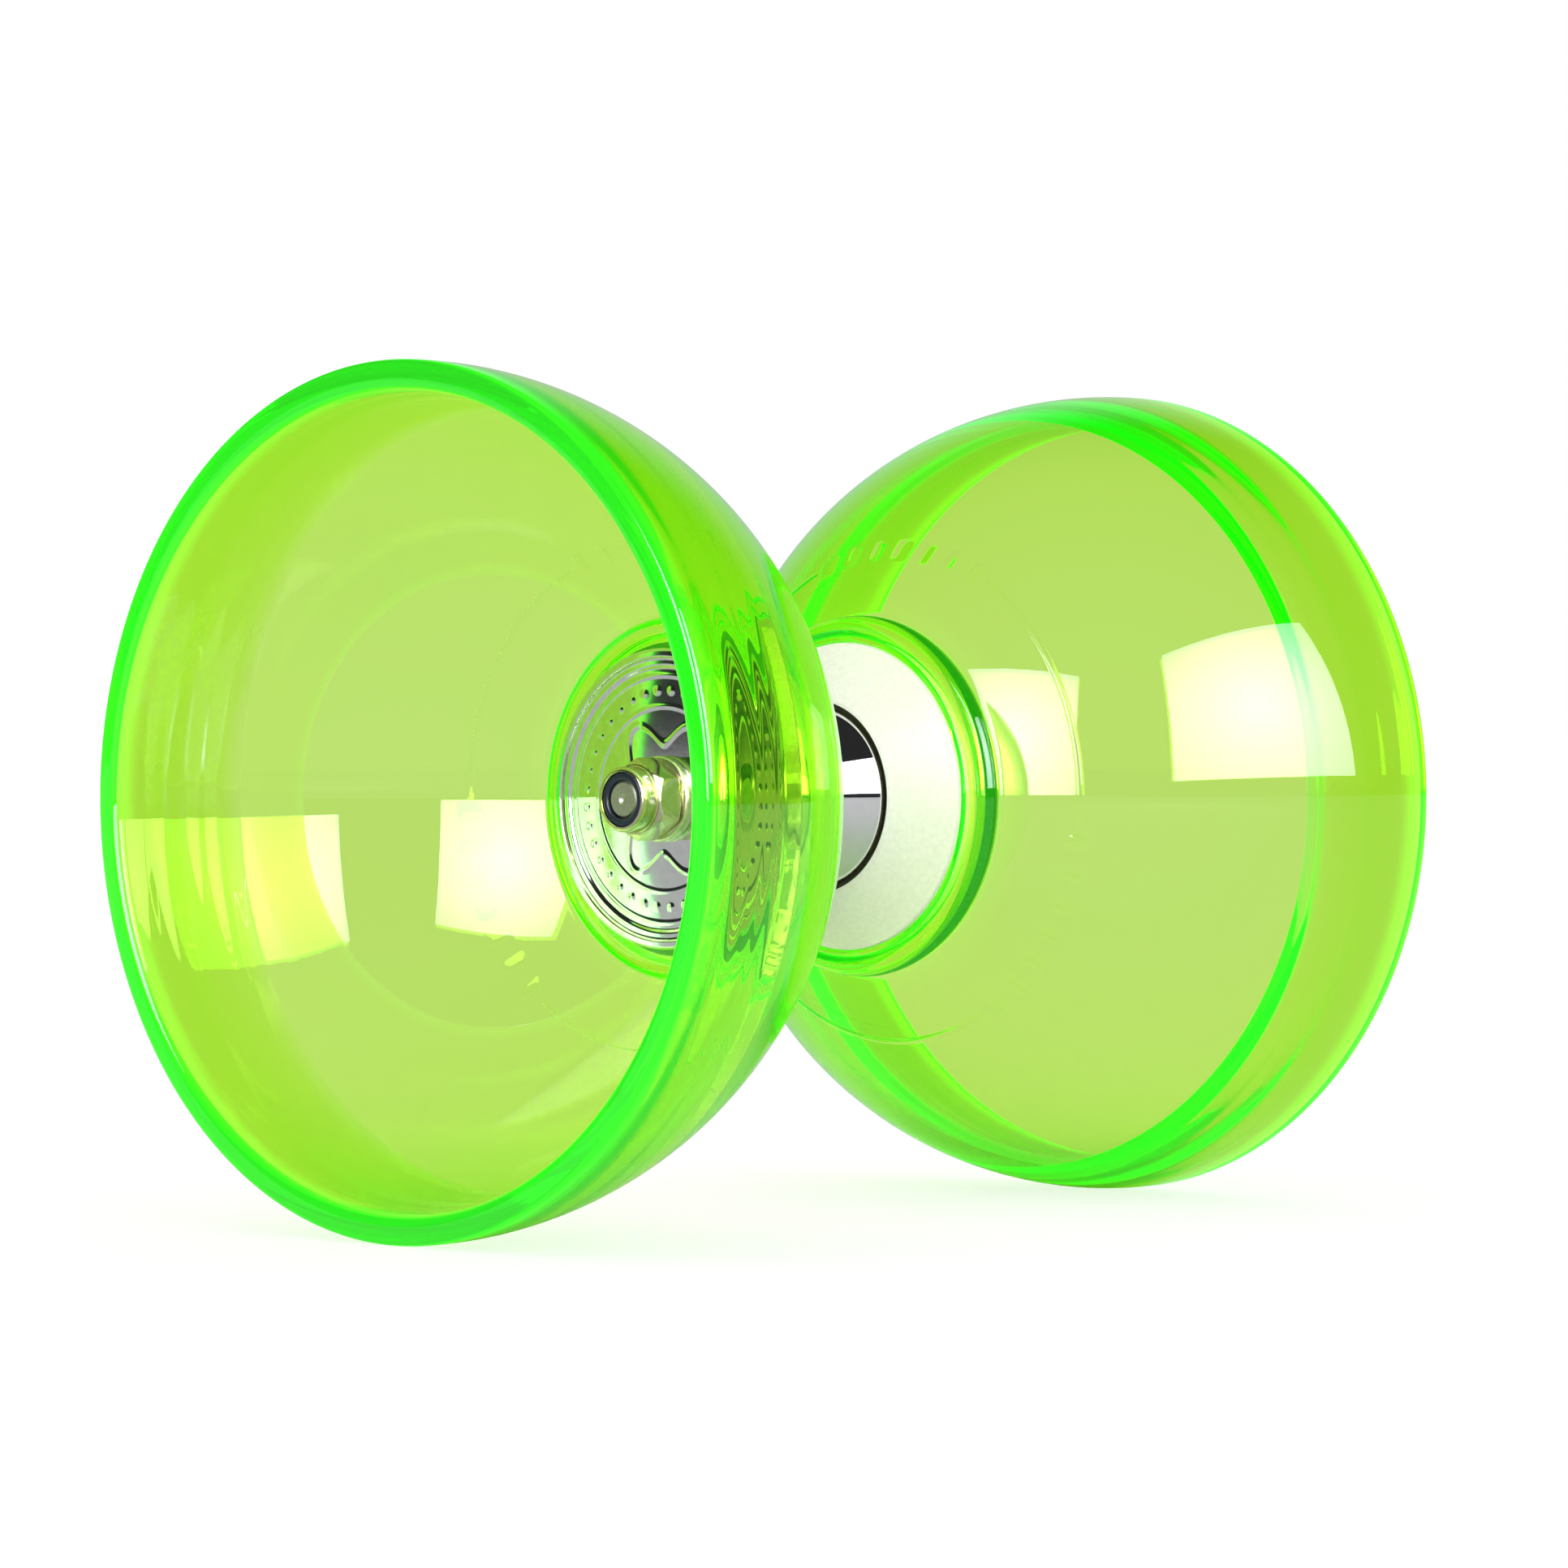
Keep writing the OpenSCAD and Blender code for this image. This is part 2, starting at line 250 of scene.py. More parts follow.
def make_piece(name, points, faces, side, mats, face_mats=None, sharp=35.0, caps=()):
    """A mesh object from points in millimetres; side -1 mirrors it to the left."""
    pts = np.array(points, float) * MM
    pts[:, 0] *= side
    quads = np.array(faces)
    a, b, c, d = (pts[quads[:, i]] for i in range(4))
    volume = np.einsum("ij,ij->i", a, np.cross(b, c)) + np.einsum("ij,ij->i", a, np.cross(c, d))
    faces = quads.tolist() + [tuple(f) for f in caps]
    if volume.sum() < 0:
        faces = [f[::-1] for f in faces]
    me = bpy.data.meshes.new(name)
    me.from_pydata(pts.tolist(), [], faces)
    for m in mats:
        me.materials.append(m)
    if face_mats is not None:
        me.polygons.foreach_set("material_index", face_mats)
    me.polygons.foreach_set("use_smooth", [True] * len(me.polygons))
    me.update()
    ob = bpy.data.objects.new(name, me)
    bpy.context.collection.objects.link(ob)
    me.set_sharp_from_angle(angle=math.radians(sharp))
    return ob


def ring_grid(rows, segments, shape):
    """Points and quads of the closed rows [(x, r)] turned about X; shape(x, r, angle, row) gives (x, r)."""
    n = len(rows)
    pts, faces = [], []
    for j in range(segments):
        t = 2 * math.pi * j / segments
        for i, (x, r) in enumerate(rows):
            x, r = shape(x, r, t, i)
            pts.append((x, r * math.cos(t), r * math.sin(t)))
    for j in range(segments):
        k = (j + 1) % segments
        for i in range(n):
            m = (i + 1) % n
            faces.append((j * n + i, j * n + m, k * n + m, k * n + i))
    return pts, faces


def lathe(name, profile, side, mats, segments=192, sharp=35.0, relief=None, pick=None):
    """A turned piece from a closed half profile [(x, r)].

    relief(x, r, angle) raises a point along the profile's normal; pick(x, r) is the material of a band.
    """
    profile = tidy(profile)
    area = sum(a[0] * b[1] - b[0] * a[1] for a, b in zip(profile, profile[1:] + profile[:1]))
    if area > 0:
        profile = profile[::-1]
    n = len(profile)
    normals = []
    for i in range(n):
        a, b = profile[i - 1], profile[(i + 1) % n]
        dx, dr = b[0] - a[0], b[1] - a[1]
        size = math.hypot(dx, dr) or 1.0
        normals.append((-dr / size, dx / size))

    def shape(x, r, t, i):
        h = relief(x, r, t) if relief is not None else 0.0
        return x + normals[i][0] * h, r + normals[i][1] * h

    pts, faces = ring_grid(profile, segments, shape)
    face_mats = None
    if pick is not None:
        after = profile[1:] + profile[:1]
        face_mats = [pick((a[0] + b[0]) / 2, (a[1] + b[1]) / 2) for a, b in zip(profile, after)] * segments
    return make_piece(name, pts, faces, side, mats, face_mats, sharp)


def seat(ob, body, node):
    """Puts a new piece on its body, in the place of a CAD node."""
    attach(ob, body)
    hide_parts(node)


# ---------------------------------------------------------------- sizes, in millimetres, as in the CAD

SIDES = (("left", -1), ("right", 1))
# Cups: the rim, the two arcs of the wall and their shared centre
RIM_R, RIM_X = 59.0, 74.5
BOWL_R, BOWL_IN_R, ARC_X, ARC_R = 59.5, 56.9, 72.5, -0.5
LIP_ROUND_OUT, LIP_ROUND_IN, MOUTH_R = 0.8, 1.4, 55.05
# The inside of the lip: a small ledge, and then nearly a cone through these places up to the mouth
LEDGE_X, LEDGE_END, LIP_END = 53.2, 56.3, 73.1
LIP_PLACES = [(57.3, 53.06), (62.5, 53.87), (66.6, 54.10)]
LIP_SOFTNESS = 0.7
# The floor of the cup, its socket for the hub, and the bead of the collar round it
SOCKET_R, HOLE_R, FLOOR_NEAR, FLOOR_FAR = 22.0, 17.0, 18.9, 21.1
COLLAR_X, COLLAR_R = 15.3, 22.95
BEAD_X, BEAD_R, BEAD_ROUND, BEAD_END_R = 17.9, 24.2, 1.7, 25.75
# Waves in the inside of the lip
WAVE_FROM, WAVE_TO, WAVE_FADE, WAVE_HEIGHT, RIPPLE_HEIGHT = 54, 72.6, 3, 0.022, 0.003
# Raised marks round the outside of the bowl: three long arcs, each followed by seven short bars
MARK_R, MARK_SPREAD, MARK_ARC_SHARE, MARK_BARS = 35.4, 120.0, 0.55, 7
MARK_ARC_H, MARK_BAR_H = 0.10, 0.14
# Hubs
BORE_R, RECESS_X, RECESS_R, CONE_TIP, CONE_FOOT = 3.05, 9.9, 13.6, (8.95, 14.3), (14.2, 21.45)
HUB_R, SPIGOT_R = 21.95, 16.9
# Clamp discs, with a ring of pips, two thin circles and a rosette
DISC_R, DISC_EDGE_X, DISC_FACE_X, DISC_STEP_R = 20.95, 22.8, 22.1, 18.1
CIRCLES, CIRCLE_W, CIRCLE_H = (17.2, 12.9), 0.45, 0.03
PIPS, PIP_RING_R, PIP_W = 36, 15.1, 0.75
ROSETTE_R, PETALS, PETAL_REACH, PETAL_W, RELIEF_H = 9.6, 6, 1.9, 0.7, 0.05
# Washers and lock nuts
WASHER_X, WASHER_T, WASHER_R = 22.1, 1.58, 6.0
NUT_X, NUT_H, NUT_HEX, FLAT, HEX_CHAMFER = 23.7, 7.1, 4.3, 5.0, 1.73
# The stud and its thread
STUD_HALF, STUD_R, PITCH, THREAD_DEPTH, THREAD_FROM = 30.3, 3.0, 1.0, 0.30, 19.9
# The barrel: a soft waist between two straight flanks
BARREL_HALF, BARREL_R, BARREL_LAND, BARREL_BORE_R, BARREL_WEB = 9.2, 13.0, 0.5, 8.55, (2.35, 7.6)
FLANK_DEG, WAIST_HALF = 16.0, 2.3

# ---------------------------------------------------------------- cups


def bowl_radius(radius, x):
    """How far from the axis an arc of the bowl is, at a distance x along it."""
    return ARC_R + math.sqrt(radius ** 2 - (ARC_X - x) ** 2)


def bowl_place(radius, r):
    """Where along the axis an arc of the bowl has radius r."""
    return ARC_X - math.sqrt(radius ** 2 - (r - ARC_R) ** 2)


def bowl_arc(radius, x_from, x_to, steps):
    """Points of a bowl arc between two places along the axis."""
    a, b = (math.degrees(math.asin((x - ARC_X) / radius)) for x in (x_from, x_to))
    return arc(ARC_X, ARC_R, radius, a, b, steps)


def lip_inside():
    """The inside of the lip from the mouth down to the ledge where the bowl proper begins, in soft steps."""
    ledge_r = bowl_radius(BOWL_IN_R, LEDGE_X)
    marks = [(LEDGE_X, ledge_r), (LEDGE_END, ledge_r)] + LIP_PLACES + [(LIP_END, MOUTH_R)]
    xs, rs = zip(*marks)
    reach = np.linspace(-LIP_SOFTNESS, LIP_SOFTNESS, 9)
    out = []
    for x in np.linspace(LEDGE_X, LIP_END, 100):
        room = min(1.0, (x - LEDGE_X) / LIP_SOFTNESS, (LIP_END - x) / LIP_SOFTNESS)
        out.append((float(x), float(np.mean(np.interp(x + reach * room, xs, rs)))))
    return out[::-1]


def cup_profile():
    """Round the cup's section: socket, collar and bead, outside of the bowl, lip, inside and floor."""
    pts = line((FLOOR_NEAR, SOCKET_R), (15.25, SOCKET_R), 3)
    pts += arc(15.2, 22.2, 0.2, -180, -90, 4)
    pts += arc(15.25, 22.7, 0.25, -90, 0, 5)
    pts += line((COLLAR_X, COLLAR_R), (16.6, COLLAR_R), 3)
    pts += arc(BEAD_X, BEAD_R, BEAD_ROUND, -135, 36, 32)
    pts += bowl_arc(BOWL_R, bowl_place(BOWL_R, BEAD_END_R), bowl_place(BOWL_R, 33.0), 10)
    pts += bowl_arc(BOWL_R, bowl_place(BOWL_R, 33.2), bowl_place(BOWL_R, 38.0), 40)
    pts += bowl_arc(BOWL_R, bowl_place(BOWL_R, 38.4), ARC_X, 70)
    pts += line((ARC_X, RIM_R), (RIM_X - LIP_ROUND_OUT, RIM_R), 2)
    pts += arc(RIM_X - LIP_ROUND_OUT, RIM_R - LIP_ROUND_OUT, LIP_ROUND_OUT, 0, 90, 10)
    pts += line((RIM_X, RIM_R - LIP_ROUND_OUT), (RIM_X, MOUTH_R + LIP_ROUND_IN), 5)
    pts += arc(RIM_X - LIP_ROUND_IN, MOUTH_R + LIP_ROUND_IN, LIP_ROUND_IN, 90, 176, 18)
    pts += lip_inside()
    pts += bowl_arc(BOWL_IN_R, LEDGE_X - 0.15, FLOOR_FAR + 0.15, 110)
    pts += line((FLOOR_FAR, bowl_radius(BOWL_IN_R, FLOOR_FAR) - 0.3), (FLOOR_FAR, HOLE_R + 0.1), 6)
    pts += line((FLOOR_FAR - 0.1, HOLE_R), (FLOOR_NEAR + 0.1, HOLE_R), 3)
    pts += line((FLOOR_NEAR, HOLE_R + 0.1), (FLOOR_NEAR, SOCKET_R - 0.1), 5)
    return pts


def lip_waves(x, t):
    """The inside of the lip is not quite true: soft waves run round it and drift a little."""
    room = min(1.0, (x - WAVE_FROM) / WAVE_FADE, (WAVE_TO - x) / WAVE_FADE)
    wave = math.sin(1.35 * x + 0.8 * math.sin(3 * t + 0.5))
    ripple = math.sin(2.9 * x + 1.6 * math.sin(2 * t + 2))
    return room * (WAVE_HEIGHT * wave + RIPPLE_HEIGHT * ripple)


def outside_marks(r, t):
    """Faint raised marks moulded round the bowl: long thin arcs, and rows of short bars between them."""
    turn_part = (math.degrees(t) / MARK_SPREAD) % 1.0
    if turn_part < MARK_ARC_SHARE:
        end = min(turn_part, MARK_ARC_SHARE - turn_part) * MARK_SPREAD
        return MARK_ARC_H * plateau(r - MARK_R, 0.35) * min(1.0, end / 1.5)
    bar = ((turn_part - MARK_ARC_SHARE) / (1 - MARK_ARC_SHARE) * MARK_BARS) % 1.0
    return MARK_BAR_H * plateau(r - MARK_R, 1.5) * plateau(bar - 0.5, 0.16)


def cup_relief(x, r, t):
    if WAVE_FROM < x < WAVE_TO and r < 55:
        return lip_waves(x, t)
    if x > 45 or r < 33 or r > 38.2 or r < bowl_radius(58.5, x):
        return 0.0
    return outside_marks(r, t)


def make_cup(word, side):
    ob = lathe(f"cup_{word}_bowl", cup_profile(), side, [CLEAR], 360, 30.0, cup_relief)
    seat(ob, "cups", f"cup_{word}")


# ---------------------------------------------------------------- hubs and clamp discs


def make_hub(word, side):
    pts = line((RECESS_X, BORE_R), (RECESS_X, 13.4), 6) + line((9.7, RECESS_R), (CONE_TIP[0], RECESS_R), 3)
    pts += arc(CONE_TIP[0], 13.8, 0.2, -180, -90, 4) + arc(9.05, 14.15, 0.3, -90, -60, 3)
    pts += line(CONE_TIP, CONE_FOOT, 24) + arc(14.75, CONE_FOOT[1], 0.5, -60, 0, 6)
    pts += line((14.8, HUB_R), (18.85, HUB_R), 5) + line((FLOOR_NEAR, 21.9), (FLOOR_NEAR, 16.95), 4)
    pts += line((FLOOR_FAR, SPIGOT_R), (FLOOR_FAR, BORE_R), 6)
    # The recess faces round the barrel end take the dark material, painted shade in the crevice
    ob = lathe(f"hub_{word}_cone", pts, side, [IVORY, SHADE], 192, 40.0,
               pick=lambda x, r: 1 if r < RECESS_R + 0.05 and x < 10 else 0)
    seat(ob, "cups", f"hub_{word}")


def disc_marks(x, r, t):
    """Pressed relief on the disc: a ring of round pips, two thin circles and a rosette."""
    if x < DISC_FACE_X - 0.2 or r > DISC_STEP_R or r < 6.2:
        return 0.0
    h = CIRCLE_H * max(swell(r - circle, CIRCLE_W) for circle in CIRCLES)
    pip = ((t / (2 * math.pi) * PIPS) % 1.0 - 0.5) * (2 * math.pi / PIPS) * PIP_RING_R
    h = max(h, RELIEF_H * swell(math.hypot(r - PIP_RING_R, pip), PIP_W))
    petal = ROSETTE_R + PETAL_REACH * math.cos(PETALS * t)
    return max(h, RELIEF_H * swell(r - petal, PETAL_W))


def make_disc(word, side):
    pts = line((FLOOR_FAR, BORE_R), (FLOOR_FAR, 20.6), 8)
    pts += [(21.2, 20.85), (21.45, DISC_R)] + line((21.5, DISC_R), (22.4, DISC_R), 3)
    pts += arc(22.4, DISC_R - 0.4, 0.4, 0, 90, 7) + line((DISC_EDGE_X, 20.5), (DISC_EDGE_X, 19.95), 3)
    pts += arc(22.5, 19.9, 0.3, 90, 150, 5) + [(22.32, 19.55)] + line((22.3, 19.45), (22.3, 18.6), 4)
    pts += [(22.26, 18.45), (22.14, 18.3), (DISC_FACE_X, 18.15)]
    pts += line((DISC_FACE_X, 18.0), (DISC_FACE_X, 6.2), 84)
    pts += line((DISC_FACE_X, 6.0), (DISC_FACE_X, BORE_R), 6)
    ob = lathe(f"clamp_disc_{word}_plate", pts, side, [ALLOY], 420, 40.0, disc_marks)
    seat(ob, "cups", f"clamp_disc_{word}")


# ---------------------------------------------------------------- nuts, washers and stud


def hex_radius(angle):
    """Distance from the axis to a hexagon's side, in a direction."""
    sector = math.radians(60)
    return FLAT / math.cos((angle + sector / 2) % sector - sector / 2)


def make_nut(word, side):
    """A hexagon chamfered by a cone at both ends, with a round collar that holds the plastic ring."""
    base, top, end = NUT_X + 0.02, NUT_X + NUT_HEX, NUT_X + NUT_H
    depths = (0.0, 0.08, 0.16, 0.24, 0.32, 0.40, 0.48, 0.56, 0.64, 0.8)
    past_corners = 99
    hexa = [(base, 4.7)] + [(base + d, 4.75 + HEX_CHAMFER * d) for d in depths]
    hexa += line((NUT_X + 1.1, past_corners), (top - 1.1, past_corners), 4)
    hexa += [(top - d, 4.85 + HEX_CHAMFER * d) for d in reversed(depths)]
    collar = [(top + 0.01, 4.68), (top + 0.12, 4.56), (top + 0.3, 4.5)]
    collar += line((top + 0.5, 4.52), (top + 1.9, 4.55), 6)
    collar += arc(end - 0.62, 3.95, 0.6, 0, 95, 12)
    mouth = [(end - 0.06, 3.86), (end - 0.2, 3.78), (end - 0.45, 3.8)]
    mouth += [(28.55, 3.82), (28.5, 3.1), (28.2, BORE_R), (NUT_X + 0.4, BORE_R), (base, 3.4)]
    rows = tidy(hexa + collar + mouth)
    hex_rows = len(tidy(hexa))

    def shape(x, r, t, i):
        if i < hex_rows:
            return x, min(r, hex_radius(t))
        if top + 0.3 < x < end - 0.7 and r > 4:
            r += 0.02 * math.sin(x * 14)
        return x, r

    pts, faces = ring_grid(rows, 144, shape)
    ob = make_piece(f"lock_nut_{word}_hex", pts, faces, side, [NUT], None, 25.0)
    seat(ob, "cups", f"lock_nut_{word}")


def make_insert(word, side):
    """The plastic ring in the collar, with a rounded end."""
    out_r, in_r, back = 3.78, 2.72, 28.62
    pts = [(back, out_r), (30.2, out_r)] + arc(30.2, out_r - 0.33, 0.33, 0, 90, 6)
    pts += arc(30.2, in_r + 0.33, 0.33, 90, 180, 6) + [(29.9, in_r), (28.9, in_r), (back, 2.9)]
    ob = lathe(f"nut_insert_{word}_ring", pts, side, [INSERT], 96, 40.0)
    seat(ob, "cups", f"nut_insert_{word}")


def make_washer(word, side):
    near, far = WASHER_X + 0.02, WASHER_X + WASHER_T
    pts = [(near, 3.25), (near, 5.85), (near + 0.1, 5.97)]
    pts += line((WASHER_X + 0.3, WASHER_R), (far - 0.4, WASHER_R), 3)
    pts += arc(far - 0.35, WASHER_R - 0.35, 0.35, 0, 90, 8)
    pts += line((far, 5.5), (far, 3.5), 6) + arc(far - 0.2, 3.4, 0.2, 90, 180, 4)
    ob = lathe(f"washer_{word}_flat", pts, side, [WASHER], 128, 40.0)
    seat(ob, "cups", f"washer_{word}")


def make_stud():
    """A plain rod with a cut thread towards both ends, and a turned dimple in each end."""
    end, segments = STUD_HALF, 72
    rows = [(-end + 0.35, 0.02), (-end + 0.2, 0.5), (-end, 0.75)]
    rows += line((-end, 1.0), (-end, 2.3), 8) + [(-end + 0.12, 2.4)]
    rows += line((-end + 0.6, 2.95), (-20.0, STUD_R), 84) + line((-19.0, STUD_R), (19.0, STUD_R), 8)
    rows += line((20.0, STUD_R), (end - 0.6, 2.95), 84) + [(end - 0.12, 2.4)]
    rows += line((end, 2.3), (end, 1.0), 8) + [(end, 0.75), (end - 0.2, 0.5), (end - 0.35, 0.02)]

    def shape(x, r, t, i):
        if abs(x) > THREAD_FROM and r > 2.9:
            phase = (x / PITCH - t / (2 * math.pi)) % 1.0
            groove = min(1.0, abs(2 * phase - 1) * 1.25)
            fade = min(1.0, (abs(x) - THREAD_FROM) / 1.5)
            r -= THREAD_DEPTH * (1 - groove) * fade
        return x, r

    pts, faces = ring_grid(rows, segments, shape)
    n = len(rows)
    # The rows are open, so the quads that would close them give way to a fan at each end
    faces = [f for f in faces if f[1] % n != 0]
    first, last = len(pts), len(pts) + 1
    pts += [(rows[0][0], 0, 0), (rows[-1][0], 0, 0)]
    caps = []
    for j in range(segments):
        k = (j + 1) % segments
        caps.append((j * n, k * n, first))
        caps.append((k * n + n - 1, j * n + n - 1, last))
    ob = make_piece("axle_stud_thread", pts, faces, 1, [STUD], None, 30.0, caps)
    seat(ob, "cups", "axle_stud")


# ---------------------------------------------------------------- barrel


def make_barrel():
    half, slope = BARREL_HALF, math.tan(math.radians(FLANK_DEG))
    land_r = BARREL_R - 0.02
    waist_round = WAIST_HALF / math.sin(math.radians(FLANK_DEG))
    edge_r = land_r - (half - BARREL_LAND - WAIST_HALF) * slope
    foot = (WAIST_HALF + 0.2, edge_r + 0.2 * slope)
    pts = line((-half, BARREL_BORE_R), (-half, BARREL_R - 0.3), 4)
    pts += arc(-half + 0.3, BARREL_R - 0.3, 0.3, -90, 0, 5)
    pts += line((-half + BARREL_LAND, land_r), (-foot[0], foot[1]), 14)
    waist_centre_r = edge_r + waist_round * math.cos(math.radians(FLANK_DEG))
    pts += arc(0, waist_centre_r, waist_round, 180 + FLANK_DEG, 180 - FLANK_DEG, 24)
    pts += line(foot, (half - BARREL_LAND, land_r), 14)
    pts += arc(half - 0.3, BARREL_R - 0.3, 0.3, 0, 90, 5)
    pts += line((half, BARREL_R - 0.35), (half, BARREL_BORE_R), 4)
    web_x, web_r = BARREL_WEB
    pts += [(web_x, BARREL_BORE_R), (web_x, web_r), (-web_x, web_r), (-web_x, BARREL_BORE_R)]
    ob = lathe("barrel_turned", pts, 1, [CHROME], 256, 40.0)
    seat(ob, "barrel", "barrel")


for word, side in SIDES:
    make_cup(word, side)
    make_hub(word, side)
    make_disc(word, side)
for word, side in SIDES:
    make_nut(word, side)
    make_insert(word, side)
    make_washer(word, side)
make_stud()
make_barrel()

CAD_LOOKS = {
    "spacer_sleeve": (SPACER, "spacer_alloy"),
    "thrust_spacer": (SPACER, "spacer_alloy"),
    "inner_race": (RACE, "race_steel"),
    "outer_race": (RACE, "race_steel"),
    "bearing_balls": (BALL, "ball_steel"),
    "bearing_cage": (CAGE, "cage_brass"),
    "bearing_shields": (SHIELD, "shield_steel"),
}
for name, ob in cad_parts.items():
    for start, (mat, slot_name) in CAD_LOOKS.items():
        if name.startswith(start):
            ob.data.materials.clear()
            ob.data.materials.append(mat)

# ---------------------------------------------------------------- floor

FLOOR_REACH = 6.0
# How light the floor is to the object, in a mirror and to the camera, and its own light to the camera
FLOOR_SOFT, FLOOR_MIRRORED, FLOOR_SEEN, FLOOR_GLOW = 0.68, 0.52, 0.32, 0.72


def mirror_rays(tree, ray):
    """1 for a ray thrown back by a surface that has not gone through anything, otherwise 0."""
    node = math_node(tree, "SUBTRACT", True)
    link(tree, ray, "Is Glossy Ray", node, 0)
    link(tree, ray, "Is Transmission Ray", node, 1)
    return node


def floor_material():
    """Seen straight on the table is white with a faint shadow; through or in the object it is a soft grey."""
    mat = bpy.data.materials.new("pale_floor")
    mat.use_nodes = True
    tree = mat.node_tree
    tree.nodes.clear()
    ray = tree.nodes.new("ShaderNodeLightPath")
    matt = tree.nodes.new("ShaderNodeBsdfDiffuse")
    glow = tree.nodes.new("ShaderNodeEmission")
    both = tree.nodes.new("ShaderNodeAddShader")
    sink = tree.nodes.new("ShaderNodeOutputMaterial")
    unseen = colour_mix(tree, grey(FLOOR_SOFT), grey(FLOOR_MIRRORED))
    tone = colour_mix(tree, None, grey(FLOOR_SEEN))
    own_light = math_node(tree, "MULTIPLY")
    own_light.inputs[1].default_value = FLOOR_GLOW
    link(tree, mirror_rays(tree, ray), 0, unseen, 0)
    link(tree, unseen, MIX_OUT, tone, MIX_A)
    link(tree, ray, "Is Camera Ray", tone, 0)
    link(tree, tone, MIX_OUT, matt, "Color")
    link(tree, ray, "Is Camera Ray", own_light, 0)
    link(tree, own_light, 0, glow, "Strength")
    link(tree, matt, 0, both, 0)
    link(tree, glow, 0, both, 1)
    link(tree, both, 0, sink, "Surface")
    return mat


floor_mesh = bpy.data.meshes.new("floor")
corners = [(-1, -1), (1, -1), (1, 1), (-1, 1)]
floor_points = [(x * FLOOR_REACH, y * FLOOR_REACH, cad_low.z) for x, y in corners]
floor_mesh.from_pydata(floor_points, [], [(0, 1, 2, 3)])
floor_mesh.materials.append(floor_material())
floor = bpy.data.objects.new("floor", floor_mesh)
bpy.context.collection.objects.link(floor)

# ---------------------------------------------------------------- lights

YAW, PITCH = math.radians(46.84), math.radians(0.65)
turn = Matrix.Rotation(-YAW, 3, "Z")
SOFTBOX_AWAY, SOFTBOX_RADIANCE, SOFTBOX_COLOUR = 1.3, 15.0, (0.88, 0.86, 1.0)
# A softbox is brightest near its middle: the peak's place, its reach, and the strengths there and far from it
PEAK_PLACE, PEAK_REACH, PEAK_STRENGTHS = (0.5, 0.4, 0.0), (0.0, 0.75), (1.25, 0.45)
FILL_AZIMUTH, FILL_RISE, FILL_AWAY, FILL_SIZE, FILL_WATTS = math.radians(160), 0.35, 1.4, 0.5, 4.0


def add_lamp(name, data, place, way):
    """An area light at a place, which shines against the direction way."""
    lamp = bpy.data.objects.new(name, data)
    lamp.location = place
    lamp.rotation_euler = way.to_track_quat("Z", "Y").to_euler()
    lamp.visible_camera = False
    bpy.context.collection.objects.link(lamp)
    return lamp


def soft_box(name, az_from, az_to, low, high):
    """An upright panel of light, from height low to high.

    Azimuths are in degrees from the camera's own direction, turning right.
    """
    half = math.radians(abs(az_to - az_from) / 2)
    middle = math.radians((az_from + az_to) / 2)
    way = turn @ Vector((math.sin(middle), math.cos(middle), 0))
    data = bpy.data.lights.new(name, "AREA")
    data.shape = "RECTANGLE"
    data.size, data.size_y = 2 * SOFTBOX_AWAY * math.tan(half), high - low
    data.energy = SOFTBOX_RADIANCE * math.pi * data.size * data.size_y
    data.color = SOFTBOX_COLOUR
    data.use_nodes = True
    tree = data.node_tree
    spot = tree.nodes.new("ShaderNodeNewGeometry")
    off_peak = tree.nodes.new("ShaderNodeVectorMath")
    off_peak.operation = "DISTANCE"
    off_peak.inputs[1].default_value = PEAK_PLACE
    fade = map_range(tree, PEAK_REACH, PEAK_STRENGTHS, smooth=False)
    link(tree, spot, "Parametric", off_peak, 0)
    link(tree, off_peak, "Value", fade, "Value")
    link(tree, fade, "Result", tree.nodes["Emission"], "Strength")
    lamp = add_lamp(name, data, way * SOFTBOX_AWAY + Vector((0, 0, (low + high) / 2)), way)
    lamp.visible_diffuse = False


def fill_light():
    """A weak light from beside the camera, only for what is matt."""
    way = turn @ Vector((math.sin(FILL_AZIMUTH), math.cos(FILL_AZIMUTH), FILL_RISE)).normalized()
    data = bpy.data.lights.new("fill", "AREA")
    data.size = FILL_SIZE
    data.energy = FILL_WATTS
    lamp = add_lamp("fill", data, way * FILL_AWAY, way)
    lamp.visible_glossy = False
    lamp.visible_transmission = False


soft_box("softbox_right", 105.5, 161, 0.10, 1.22)
soft_box("softbox_left", -171, -132, 0.0, 0.95)
fill_light()

# The white studio, and how grey it is through the clear cups
STUDIO, STUDIO_THROUGH = 1.0, 0.70
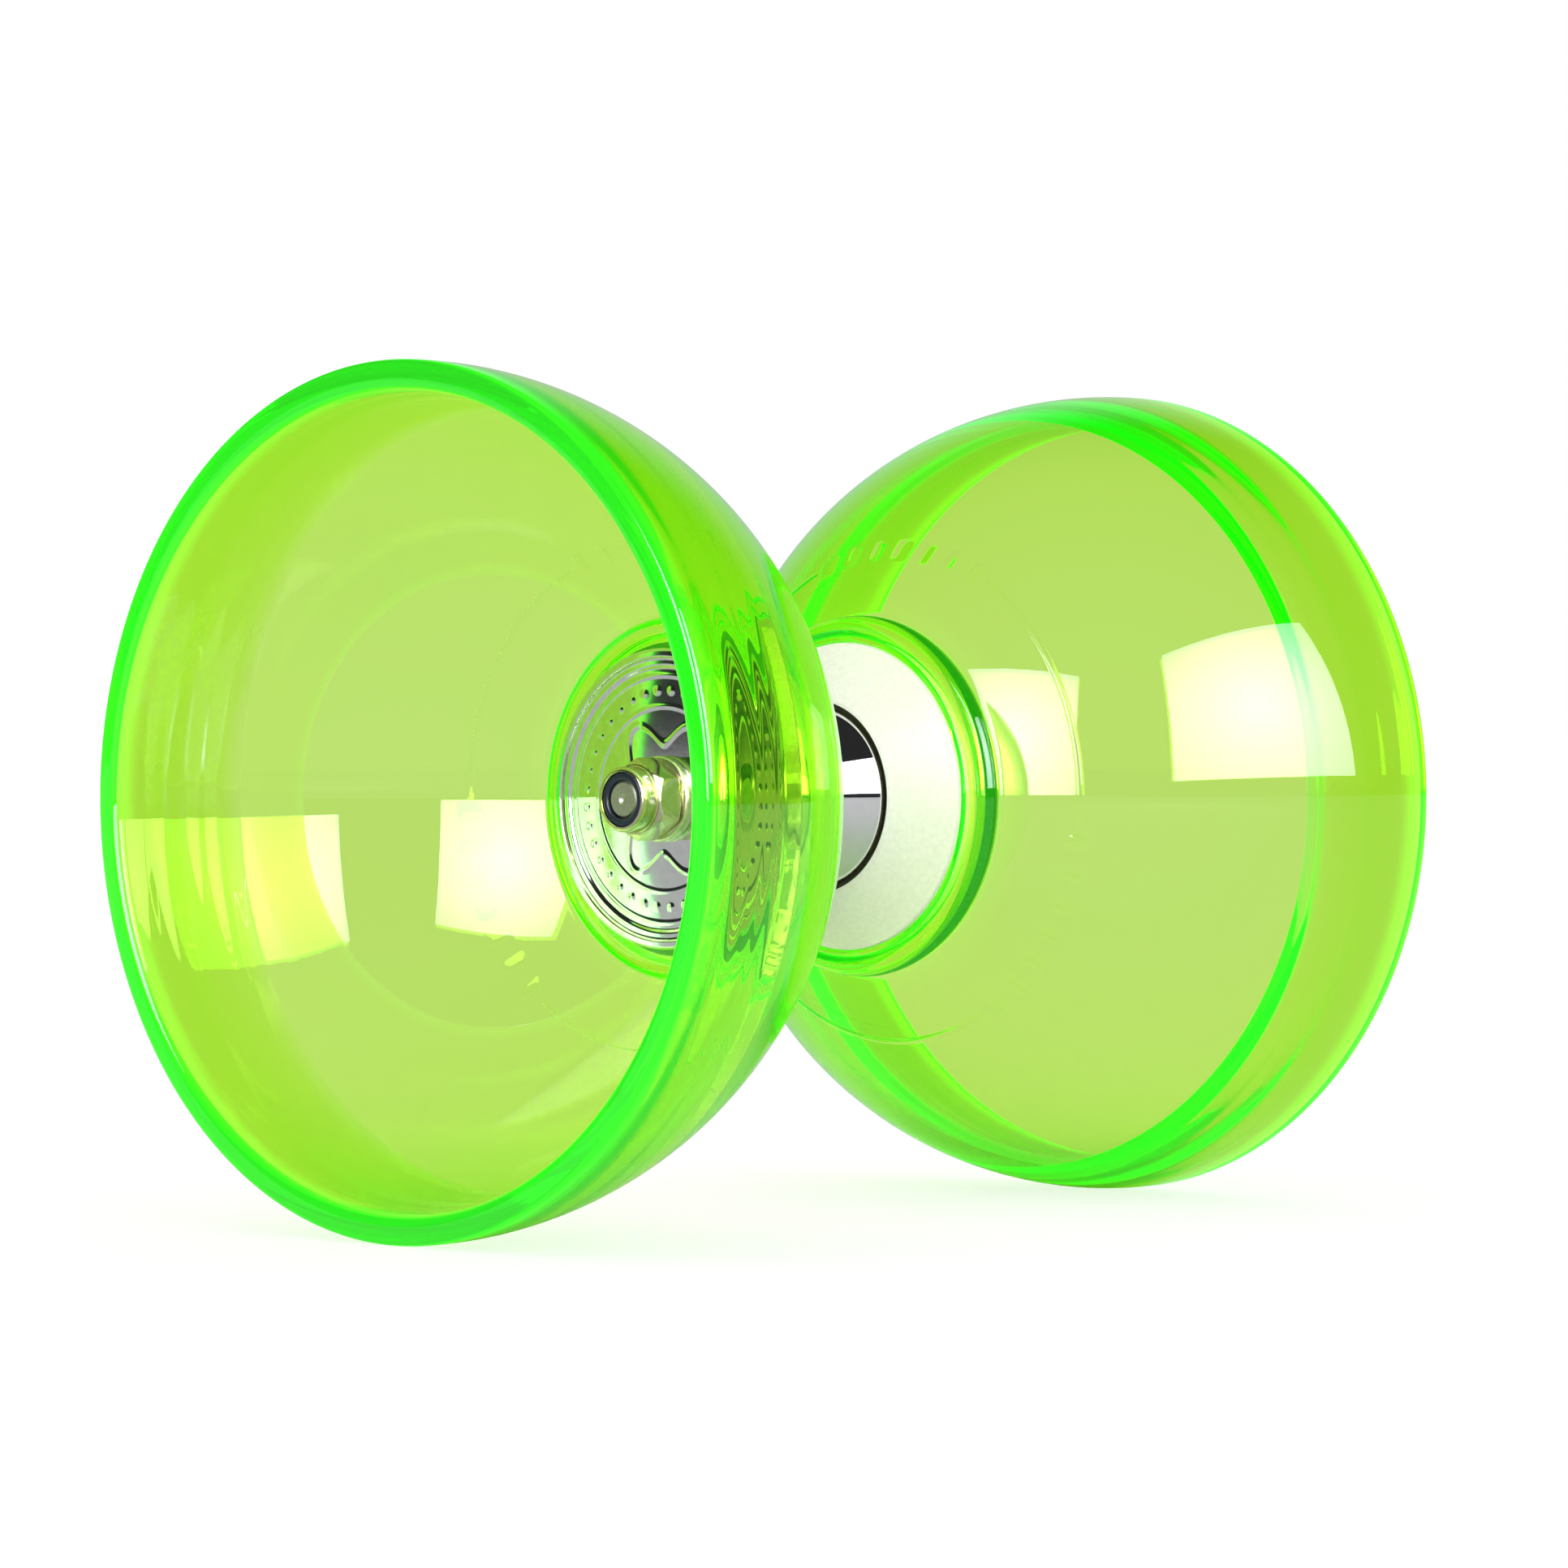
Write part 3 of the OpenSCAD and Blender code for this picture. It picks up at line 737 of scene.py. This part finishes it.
# Mirrors see a dim room with a pale backdrop: where it begins (cosine from straight ahead), and the strengths
BACKDROP_AT, BACKDROP = (0.66, 0.97), (0.022, 0.5)


def studio_world():
    world = bpy.data.worlds.new("studio")
    world.use_nodes = True
    tree = world.node_tree
    background = tree.nodes["Background"]
    ray = tree.nodes.new("ShaderNodeLightPath")
    through = colour_mix(tree, grey(STUDIO), grey(STUDIO_THROUGH))
    seen = colour_mix(tree)
    where = tree.nodes.new("ShaderNodeTexCoord")
    facing = tree.nodes.new("ShaderNodeVectorMath")
    facing.operation = "DOT_PRODUCT"
    facing.inputs[1].default_value = turn @ Vector((0, 1, 0))
    backdrop = map_range(tree, BACKDROP_AT, BACKDROP)
    link(tree, ray, "Is Transmission Ray", through, 0)
    link(tree, where, "Generated", facing, 0)
    link(tree, facing, "Value", backdrop, "Value")
    link(tree, backdrop, "Result", seen, MIX_B)
    link(tree, mirror_rays(tree, ray), 0, seen, 0)
    link(tree, through, MIX_OUT, seen, MIX_A)
    link(tree, seen, MIX_OUT, background, "Color")
    background.inputs["Strength"].default_value = 1.0
    return world


# ---------------------------------------------------------------- camera

DISTANCE, ASIDE, ABOVE, LENS, SENSOR = 0.922, 0.00150, 0.00189, 149.8, 36.0


def make_camera():
    """Looks along the yaw and pitch at the middle of the object, from a little to the right and above."""
    forward = turn @ Vector((0, math.cos(PITCH), -math.sin(PITCH)))
    right = turn @ Vector((1, 0, 0))
    up = turn @ Vector((0, math.sin(PITCH), math.cos(PITCH)))
    data = bpy.data.cameras.new("camera")
    data.sensor_width = SENSOR
    data.lens = LENS
    data.clip_start = 0.05
    data.clip_end = 50.0
    camera = bpy.data.objects.new("camera", data)
    basis = Matrix((right, up, -forward)).transposed().to_4x4()
    camera.matrix_world = Matrix.Translation(right * ASIDE + up * ABOVE - forward * DISTANCE) @ basis
    bpy.context.collection.objects.link(camera)
    return camera


scene = bpy.context.scene
scene.world = studio_world()
scene.camera = make_camera()
scene.view_settings.view_transform = "Standard"
scene.cycles.max_bounces = 24
scene.cycles.glossy_bounces = 16
scene.cycles.transmission_bounces = 24
scene.cycles.transparent_max_bounces = 16
